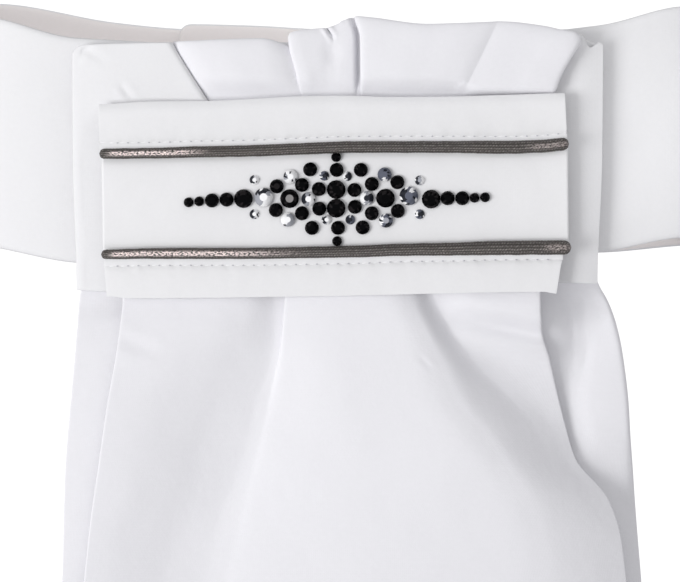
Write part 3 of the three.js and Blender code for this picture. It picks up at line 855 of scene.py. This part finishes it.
# Back tail. Stations: left edge, the end of its left strip, two on its flat body, one under the front
# tail's edge, the gulley, the rise, crown, shoulder and outer side of the roll, and its turned edge
back_sections = [
    (8, [-54, -44, -20, 20, 38, 44, 47, 49, 51, 53, 54],
     [0.9] * 11),
    (-20, [-56, -44, -20, 20, 38, 45, 49, 52, 54.4, 55.8, 56.5],
     [0.9] * 11),
    (-26, [-56.4, -44, -20, 22, 40, 47, 51, 54, 56.2, 57.2, 56.6],
     [1, 1, 0.9, 0.8, 0.6, -1.2, -3.4, -4.6, -5, -5.4, -6.2]),
    (-30, [-57, -44, -20, 22, 43.5, 50.6, 54.8, 57.4, 59, 59.5, 58],
     [1.6, 1.6, 0.9, 0.6, -0.2, -4.8, -6.6, -6.8, -6.8, -7.4, -8.6]),
    (-35, [-57.3, -44, -20, 24, 45.2, 52, 54.8, 57.8, 60.6, 61.3, 58.5],
     [3.8, 4, 0.9, 0, -1.6, -5.8, -6.4, -6.1, -5.4, -6, -7.2]),
    (-41, [-57.7, -46.5, -22, 26, 46.8, 52.2, 54.6, 57.4, 61.8, 62.6, 58.5],
     [6, 5.8, 0.4, -1.2, -4.3, -6.1, -6.2, -5.5, -4.6, -5.2, -6.8]),
    (-52, [-58.6, -48.5, -24, 26, 46.8, 50.2, 52.4, 56, 63.1, 64, 58],
     [8.4, 7.8, 0.4, -2.6, -6.1, -6.5, -6.2, -5.2, -4.6, -5.3, -7.2]),
    (-60, [-59.3, -50, -25, 26, 46, 51, 54, 58, 63.6, 64.5, 58],
     [9.3, 8.6, 0.4, -2.4, -5.9, -6.1, -5.9, -5.4, -5.5, -6.2, -8]),
    (-66, [-59.7, -51, -26, 26, 46, 51.9, 55, 59, 64, 65, 58],
     [9.7, 8.9, 0.4, -1.6, -4.8, -4.9, -5.4, -6.1, -6.7, -7.5, -9.2]),
    (-74, [-60, -52, -27, 28, 50, 57.5, 60, 62.5, 64.6, 65.6, 58],
     [9.8, 9, 0.5, 0, -2.6, -4, -5.1, -6.6, -8, -9.1, -10.4]),
    (-83, [-60.2, -53, -28, 28, 52, 60, 62, 64, 65.4, 66.2, 58],
     [9.6, 8.8, 0.6, 0.4, -1.4, -2.6, -3.8, -5, -6, -7, -8.6]),
    (-92, [-60.5, -54, -29, 28, 53, 61, 63, 65, 66.2, 66.9, 58],
     [9.4, 8.5, 0.8, 0.8, -0.6, -1.8, -2.8, -4, -5, -6, -7.6]),
    (-140, [-64, -55, -20, 28, 55, 62, 65, 67.4, 69, 69.7, 60],
     [7.7, 7.4, 1.2, 0.9, 0.8, 0.2, -0.6, -1.6, -2.6, -3.6, -5.2]),
    (-206, [-67.5, -58, -20, 30, 57, 64, 68, 70.6, 72.4, 73.2, 62],
     [5.4, 5.3, 1, 0.9, 1.2, 0.8, 0.2, -0.8, -1.8, -2.8, -4.6]),
]
back_columns = [8, 16, 12, 8, 8, 8, 8, 8, 8, 10]
back_levels = Curve((0, -206), (0.3, -110), (0.66, -52), (0.95, -19), (1, 8))
BACK_ROWS = 92


def make_tail(name, sections, columns, rows, levels, relief, cotton):
    read = station_reader(columns)
    across = section_reader(sections, 1)
    out = section_reader(sections, 2)

    def row_at(v):
        z = levels(v)
        xs = across(z)
        outs = out(z)

        def place(u):
            station = read(u)
            x = xs(station)
            return on_face(x, z, outs(station) + relief(x, z))

        return place

    piece = lay_cloth(name, sum(columns), rows, row_at, [cotton])
    give_thickness(piece, TAIL_CLOTH)
    return piece


TAIL_FREE = (-31, -44)
front_creases = [
    ((-49.5, -37.6), (-38.5, -41.6), 0.3, 1.6),
    ((25, -33.2), (56, -39.8), 1.6, 2.1),
    ((17.5, -42), (20.6, -44.9), 0.16, 0.6),
    ((-13.4, -68), (-10.2, -73.6), 0.2, 0.8),
]


def front_relief(x, z):
    wave = 0.25 * ripple(x, z, size=17, seed=8.3) * ramp(*TAIL_FREE, z)
    return add_creases(wave, x, z, front_creases)


def back_relief(x, z):
    return 0.12 * ripple(x, z, size=19, seed=4.9) * ramp(*TAIL_FREE, z)


def make_front_tail(cotton):
    piece = make_tail("front_tail_cloth", front_sections, front_columns, FRONT_ROWS, front_levels,
                      front_relief, cotton)
    wear(piece, "white_cotton", "pleated_front")


def make_back_tail(cotton):
    piece = make_tail("back_tail_cloth", back_sections, back_columns, BACK_ROWS, back_levels,
                      back_relief, cotton)
    wear(piece, "white_cotton", "back_tail")


# The decorated band: three strips, each between two lines, with stitching beside the cords

STITCH_ABOVE = 2.35
STITCH_BELOW = 2.6
STITCHES_FROM = -49.5
UPPER_STITCHES_TO = 49.5
LOWER_STITCHES_TO = 47.5
STITCH_PITCH = 2.3
STITCH_SIZE = (1.65, 0.34, 0.5)
STITCH_LIFT = 0.12
HOLE_SIZE = (0.6, 0.2, 0.36)
# The dip along the stitches: its depth under one, how much shallower it is at a hole, and its width
STITCH_DIP = 0.5
HOLE_RISE = 0.36
DIP_WIDTH = 0.55
# The puckers beside the stitches: depth, length along them and width
PUCKER_DEPTH = 0.14
PUCKER_LENGTH = 2.6
PUCKER_WIDTH = 2.6
SEAM_GAP = 0.3
PANEL_DIP = 0.45
BORDER_SWELL = 0.3
TOP_ROLL = 2.8
TOP_DROP = 1.9
ROLL_RISE = 0.8
STRIP_COLUMNS = 200
# Each strip's left and right ends at its top, then at its foot
UPPER_ENDS = ((-52.4, 49.7), (-52.2, 50.2))
PANEL_ENDS = ((-51.8, 50.4), (-51.5, 50.6))
LOWER_ENDS = ((-51.2, 49.4), (-50.6, 47.8))


def upper_stitch(x):
    return upper_seam(x) + STITCH_ABOVE


def lower_stitch(x):
    return lower_seam(x) - STITCH_BELOW


def band_relief(x, z):
    """The stitch lines pull the padded strips down and pucker them a little."""
    out = 0.0
    for line, seed in ((upper_stitch, 2.2), (lower_stitch, 6.4)):
        near = z - line(x)
        rise = 0.5 - 0.5 * math.cos(2 * math.pi * (x - STITCHES_FROM) / STITCH_PITCH)
        out -= (STITCH_DIP - HOLE_RISE * rise) * math.exp(-((near / DIP_WIDTH) ** 2))
        pucker = PUCKER_DEPTH * noise.noise(Vector((x / PUCKER_LENGTH, near / 5, seed)))
        out += pucker * math.exp(-((near / PUCKER_WIDTH) ** 2))
    return out + 0.06 * ripple(x, z, size=5, seed=9.2)


def panel_relief(x, z):
    """The cords are sewn down tight, so the panel dips along both of them."""
    from_cord = min(upper_seam(x) - z, z - lower_seam(x))
    return band_relief(x, z) - PANEL_DIP * ramp(2.3, 1.2, from_cord)


def border_relief(x, z):
    """The borders are padded: they swell a little along the cords, and the top edge rolls back."""
    from_cord = max(z - upper_seam(x), lower_seam(x) - z)
    rolled = max(0.0, 1 - (band_top(x) - z) / TOP_ROLL)
    return band_relief(x, z) + BORDER_SWELL * ramp(2.2, 0.9, from_cord) - TOP_DROP * rolled * rolled


def make_strip(name, node, cotton, relief, rows, ends, top_line, foot_line):
    top_ends, foot_ends = ends

    def row_at(v):
        left = mix(foot_ends[0], top_ends[0], v)
        right = mix(foot_ends[1], top_ends[1], v)

        def place(u):
            x = mix(left, right, u)
            z = mix(foot_line(x), top_line(x), v)
            return on_face(x, z, BAND_OUT + relief(x, z))

        return place

    piece = lay_cloth(name, STRIP_COLUMNS, rows, row_at, [cotton])
    give_thickness(piece, BAND_THICKNESS, levels=0, round_edge=0.75)
    wear(piece, "white_cotton", node)


def make_band(cotton):
    gap = SEAM_GAP / 2
    make_strip("border_upper_cloth", "border_upper", cotton, border_relief, 33, UPPER_ENDS,
               lambda x: band_top(x) - ROLL_RISE, lambda x: upper_seam(x) + gap)
    make_strip("band_panel_cloth", "band_panel", cotton, panel_relief, 34, PANEL_ENDS,
               lambda x: upper_seam(x) - gap, lambda x: lower_seam(x) + gap)
    make_strip("border_lower_cloth", "border_lower", cotton, border_relief, 32, LOWER_ENDS,
               lambda x: lower_seam(x) - gap, band_foot)


def scale_by(x, y, z):
    return Matrix.Diagonal(Vector((x, y, z, 1)))


def make_stitches(name, line, end, cotton, shade):
    """A row of thread stitches with a needle hole between every two, each a small stretched ball. The holes
    are grey balls: painted shade.
    """
    bm = bmesh.new()
    layer = bm.loops.layers.uv.new("cloth")
    stitch = (0, STITCH_SIZE, STITCH_LIFT, 0)
    hole = (0.5, HOLE_SIZE, 0.0, 1)
    for index in range(int((end - STITCHES_FROM) / STITCH_PITCH)):
        for step, (long, deep, tall), lift, tone in (stitch, hole):
            x = STITCHES_FROM + (index + step) * STITCH_PITCH
            z = line(x)
            slope = math.atan2(line(x + 1) - line(x - 1), 2)
            made = bmesh.ops.create_icosphere(bm, subdivisions=1, radius=0.5)
            turn = Matrix.Rotation(-slope, 4, "Y")
            shift = Matrix.Translation(on_face(x, z, BAND_FACE + border_relief(x, z) + lift))
            size = scale_by(long * MM, deep * MM, tall * MM)
            bmesh.ops.transform(bm, matrix=shift @ turn @ size, verts=made["verts"])
            for face in {face for vertex in made["verts"] for face in vertex.link_faces}:
                face.material_index = tone
    for face in bm.faces:
        face.smooth = True
        for loop in face.loops:
            loop[layer].uv = (loop.vert.co.x, loop.vert.co.z)
    piece = add_object(name, bm, [cotton, shade])
    wear(piece, "white_cotton")


# Trim cords: several strands side by side in a round cord, each twisted

CORD_STRANDS = 13
STRAND_DEPTH = 0.11
TWIST_PITCH = 0.7
TWIST_DEPTH = 0.05
CORD_SIDES = 52
CORD_RINGS_PER_TWIST = 3
CORD_TIP_SHARE = 0.05
CORD_SWELL = 0.05
CORD_SWAY = 0.07
MERGE_WITHIN = 0.004
# Where each cord's painted highlight starts to fade, where it has gone, and where it comes back
UPPER_GLINTS = (17, 26, 94)
LOWER_GLINTS = (26, 48, 97)


def make_cord(name, node, line, radius_at, painted_glints):
    start = line.keys[0]
    end = line.keys[-1]
    rings = round((end - start) / TWIST_PITCH * CORD_RINGS_PER_TWIST)

    def row_at(v):
        turn = 2 * math.pi * v
        strand = 0.5 + 0.5 * math.cos(CORD_STRANDS * turn)

        def place(u):
            x = mix(start, end, u)
            full = radius_at(x) + CORD_SWELL * ripple(x, 0, size=1.9, seed=7.7)
            from_end = min(1.0, min(x - start, end - x) / full)
            rounding = max(CORD_TIP_SHARE, math.sqrt(max(0.0, 1 - (1 - from_end) ** 2)))
            twist = 0.5 + 0.5 * math.sin(2 * math.pi * x / TWIST_PITCH + CORD_STRANDS * turn)
            radius = (full - STRAND_DEPTH * (1 - strand) - TWIST_DEPTH * twist) * rounding
            aside = Vector((0, math.cos(turn), -math.sin(turn)))
            z = line(x) + CORD_SWAY * ripple(x, 0, size=3.4, seed=2.9)
            return on_face(x, z, CORD_OUT) + aside * radius * MM

        return place

    piece = lay_cloth(name, rings, CORD_SIDES, row_at, [])
    around = max(item.uv.y for item in piece.data.uv_layers["cloth"].data)
    piece.data.materials.append(make_gimp(f"metallic gimp {node}", around, *painted_glints))
    bm = bmesh.new()
    bm.from_mesh(piece.data)
    bmesh.ops.remove_doubles(bm, verts=bm.verts, dist=MERGE_WITHIN * MM)
    bmesh.ops.holes_fill(bm, edges=bm.edges, sides=CORD_SIDES)
    bmesh.ops.recalc_face_normals(bm, faces=bm.faces)
    bm.to_mesh(piece.data)
    bm.free()
    wear(piece, "metallic_gimp", node)


# Crystals: a flat back, a low girdle, two tiers of 16 facets turned against each other, and a table

STONE_FACETS = 16
GIRDLE_SHARE = 0.22
BREAK_SHARE = 0.62
BREAK_RADIUS = 0.76
TABLE_RADIUS = 0.42
STONE_TIERS = [(1, GIRDLE_SHARE, 0), (BREAK_RADIUS, BREAK_SHARE, 0.5), (TABLE_RADIUS / BREAK_RADIUS, 1, 0.5)]
STONE_SPREAD = 1.035
# Over how many degrees the facets' chance of a stray tone changes, and where each stray tone begins
STRAY_ANGLE = 11
SHEEN_OVER = 0.25
BRIGHT_OVER = 0.38
DARK_UNDER = -0.36
BREAK_TIER = 1
# Tones of the clear stones' facets, all painted: shade, slate and grey reflections, and highlight
DARK, SLATE, GREY, BRIGHT = 0, 1, 2, 3
# Tones of the black stones' facets: jet, their own colour, then a painted sheen and a painted glint
JET, SHEEN, GLINT = 0, 1, 2


def cut_stone(bm, centre, diameter, height, turn, tone_of):
    """Adds one stone with its back centred on a point. tone_of(tier, angle) picks a facet's glass."""
    radius = diameter / 2
    made = bmesh.ops.create_circle(bm, cap_ends=False, segments=STONE_FACETS, radius=radius)
    whole = list(made["verts"])
    rim = list(dict.fromkeys(edge for vertex in whole for edge in vertex.link_edges))
    bottom = bmesh.ops.contextual_create(bm, geom=rim)["faces"]
    faces = []
    below = 0
    for tier, (narrowing, share, twist) in enumerate(STONE_TIERS):
        grown = bmesh.ops.extrude_edge_only(bm, edges=rim)["geom"]
        ring = [item for item in grown if isinstance(item, bmesh.types.BMVert)]
        rim = [item for item in grown if isinstance(item, bmesh.types.BMEdge)
               and all(vertex in ring for vertex in item.verts)]
        faces += [(tier, item) for item in grown if isinstance(item, bmesh.types.BMFace)]
        step = (share - below) * height
        below = share
        move = Matrix.Translation((0, 0, step)) @ Matrix.Rotation(twist * 2 * math.pi / STONE_FACETS, 4, "Z")
        bmesh.ops.transform(bm, matrix=move @ scale_by(narrowing, narrowing, 1), verts=ring)
        whole += ring
    table = bmesh.ops.contextual_create(bm, geom=rim)["faces"]
    faces += [(len(STONE_TIERS), face) for face in table]
    bmesh.ops.recalc_face_normals(bm, faces=[face for _, face in faces] + bottom)
    for tier, face in faces:
        middle = face.calc_center_median()
        face.material_index = tone_of(tier, math.degrees(math.atan2(middle.y, middle.x)) % 360)
    seat = Matrix.Translation(centre) @ Matrix.Rotation(turn, 4, "Z") @ Matrix.Rotation(math.pi / 2, 4, "X")
    bmesh.ops.transform(bm, matrix=seat @ scale_by(MM, MM, MM), verts=whole)


def face_turn(x):
    return math.atan2(face_depth(x + 1) - face_depth(x - 1), 2)


def apart(first, second):
    return abs((first - second + 180) % 360 - 180)


def black_tones(table, seed):
    """Jet facets, of which a few get a faint painted sheen."""

    def tone_of(tier, angle):
        if tier == len(STONE_TIERS):
            return table
        stray = noise.noise(Vector((angle / STRAY_ANGLE, tier * 3.3, seed)))
        return SHEEN if stray > SHEEN_OVER else JET

    return tone_of


def clear_tones(light, light_spread, shade, shade_spread, rest, table, seed):
    """Facets near the light's direction get the painted highlight and those near the shade's the painted
    shade. A few stray.
    """

    def tone_of(tier, angle):
        if tier == len(STONE_TIERS):
            return table
        stray = noise.noise(Vector((angle / STRAY_ANGLE, tier * 2.7, seed)))
        if stray > BRIGHT_OVER and tier == BREAK_TIER:
            return BRIGHT
        if stray < DARK_UNDER:
            return DARK
        if apart(angle, light) < light_spread:
            return BRIGHT
        if apart(angle, shade) < shade_spread:
            return DARK
        return rest

    return tone_of


# The painted reflections on each clear stone: where it is painted bright and how widely, where it is painted
# dark and how widely, and the tones of its other facets and of its table
clear_stones = {
    "clear_large_1": (320, 60, 110, 50, GREY, BRIGHT),
    "clear_large_2": (60, 15, 180, 60, SLATE, SLATE),
    "clear_medium_1": (0, 150, 180, 15, GREY, BRIGHT),
    "clear_medium_2": (180, 75, 0, 0, GREY, BRIGHT),
    "clear_medium_3": (0, 75, 180, 60, GREY, BRIGHT),
    "clear_medium_4": (180, 65, 0, 50, GREY, DARK),
    "clear_medium_5": (270, 25, 0, 0, SLATE, SLATE),
    "clear_medium_6": (180, 45, 300, 40, SLATE, GREY),
}
# The black stones whose tables get a painted glint or a painted sheen
black_tables = {"black_large_2": GLINT, "black_medium_3": SHEEN}


def make_crystals(black_glass, clear_glass):
    for seed, node in enumerate(sorted(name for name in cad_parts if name.startswith("crystal_"))):
        low, high = (Vector(corner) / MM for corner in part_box(node))
        x = (low.x + high.x) / 2
        z = (low.z + high.z) / 2
        name = node.removeprefix("crystal_")
        catch = clear_stones.get(name)
        tone_of = clear_tones(*catch, seed) if catch else black_tones(black_tables.get(name, JET), seed)
        bm = bmesh.new()
        width = (high.z - low.z) * STONE_SPREAD
        cut_stone(bm, on_face(x, z, STONE_OUT), width, high.y - low.y, face_turn(x), tone_of)
        piece = add_object(f"cut_{name}", bm, clear_glass if catch else black_glass)
        wear(piece, "clear_crystal" if catch else "black_crystal", node)


# The smallest clear stones: across, up, and the painted reflections on their facets
ACCENT_DIAMETER = 2.15
ACCENT_HEIGHT = 1.0
LIT_RIGHT = (0, 85, 180, 80, GREY, BRIGHT)
accent_stones = [
    (-18.3, -3.4, LIT_RIGHT), (-18.3, -10.9, LIT_RIGHT),
    (-3, -2.5, (200, 12, 0, 60, SLATE, DARK)), (-2.5, -12.1, LIT_RIGHT),
    (2, -2.6, (180, 80, 0, 80, GREY, DARK)), (2.7, -12.1, (90, 15, 180, 60, SLATE, DARK)),
    (17.9, -3.5, (0, 70, 180, 60, GREY, GREY)), (17.9, -10.9, (170, 40, 0, 60, SLATE, DARK)),
]


def make_accents(clear_glass):
    bm = bmesh.new()
    for seed, (x, z, light) in enumerate(accent_stones):
        tone_of = clear_tones(*light, seed + 0.5)
        cut_stone(bm, on_face(x, z, BAND_FACE), ACCENT_DIAMETER, ACCENT_HEIGHT, face_turn(x), tone_of)
    piece = add_object("cut_accents", bm, clear_glass)
    wear(piece, "clear_crystal")


def dress():
    white = make_cotton("white cotton", (0.845, 0.84, 0.87))
    # The neckband's inside is a lighter, warmer copy of the cotton: painted light on the shaded inside of the
    # loop, with the warm tint of its shade
    inside_lit = make_cotton("white cotton inside", (0.89, 0.85, 0.84))
    # A slightly darker copy of the white cotton for the neckband's outside and the throat plate: painted
    # shade where the key light falls too brightly
    painted_shade = make_cotton("white cotton backing", (0.812, 0.81, 0.824))
    border = make_cotton("white cotton border", (0.842, 0.84, 0.852))
    black_glass = [
        make_glass("black crystal", (0.002, 0.002, 0.0025), shine=0.12, bend=1.3),
        make_glass("black crystal painted sheen", (0.016, 0.014, 0.015), shine=0.15, bend=1.3),
        make_glass("black crystal painted glint", (0.26, 0.25, 0.25), shine=0.15, bend=1.3),
    ]
    # The clear stones' facet tones are painted shade, painted reflections and a painted highlight
    clear_glass = [
        make_glass("clear crystal painted shade", (0.02, 0.022, 0.03), shine=0.3, bend=1.45),
        make_glass("clear crystal painted slate reflection", (0.12, 0.13, 0.17), shine=0.3, bend=1.45),
        make_glass("clear crystal painted grey reflection", (0.38, 0.39, 0.43), shine=0.4, bend=1.45),
        make_glass("clear crystal painted highlight", (0.98, 0.98, 0.99), shine=0.8, bend=1.45),
    ]
    set_floor()
    make_neckband(painted_shade, inside_lit)
    make_closure(make_pile())
    make_back_tail(white)
    make_plate(painted_shade)
    make_pleats(white)
    make_front_tail(white)
    make_band(border)
    thread = make_cotton("white thread", (0.93, 0.93, 0.94))
    # Needle holes: a grey cotton as painted shade in the holes
    hole_shade = make_cotton("needle hole", (0.6, 0.6, 0.63))
    make_stitches("stitches_upper", upper_stitch, UPPER_STITCHES_TO, thread, hole_shade)
    make_stitches("stitches_lower", lower_stitch, LOWER_STITCHES_TO, thread, hole_shade)
    make_cord("cord_upper_wound", "cord_upper", upper_seam, upper_radius, UPPER_GLINTS)
    make_cord("cord_lower_wound", "cord_lower", lower_seam, lower_radius, LOWER_GLINTS)
    make_crystals(black_glass, clear_glass)
    make_accents(clear_glass)


bpy.context.scene.view_settings.view_transform = "Standard"
set_camera()
set_world(low=0.52, high=0.62, backdrop=1.1)
add_soft_light("key", left=42, below=8, distance=2.5, size=1.05, power=36)
add_side_spot("side fill", place=(0.75, -1.2, 0.0), aim=(0.085, -0.02, 0.007), radius=0.048, power=22)
add_loop_light("loop light", place=(0, -0.3, 0.27), aim=(0, 0.037, 0.03), spread=14, power=0.0072)
dress()
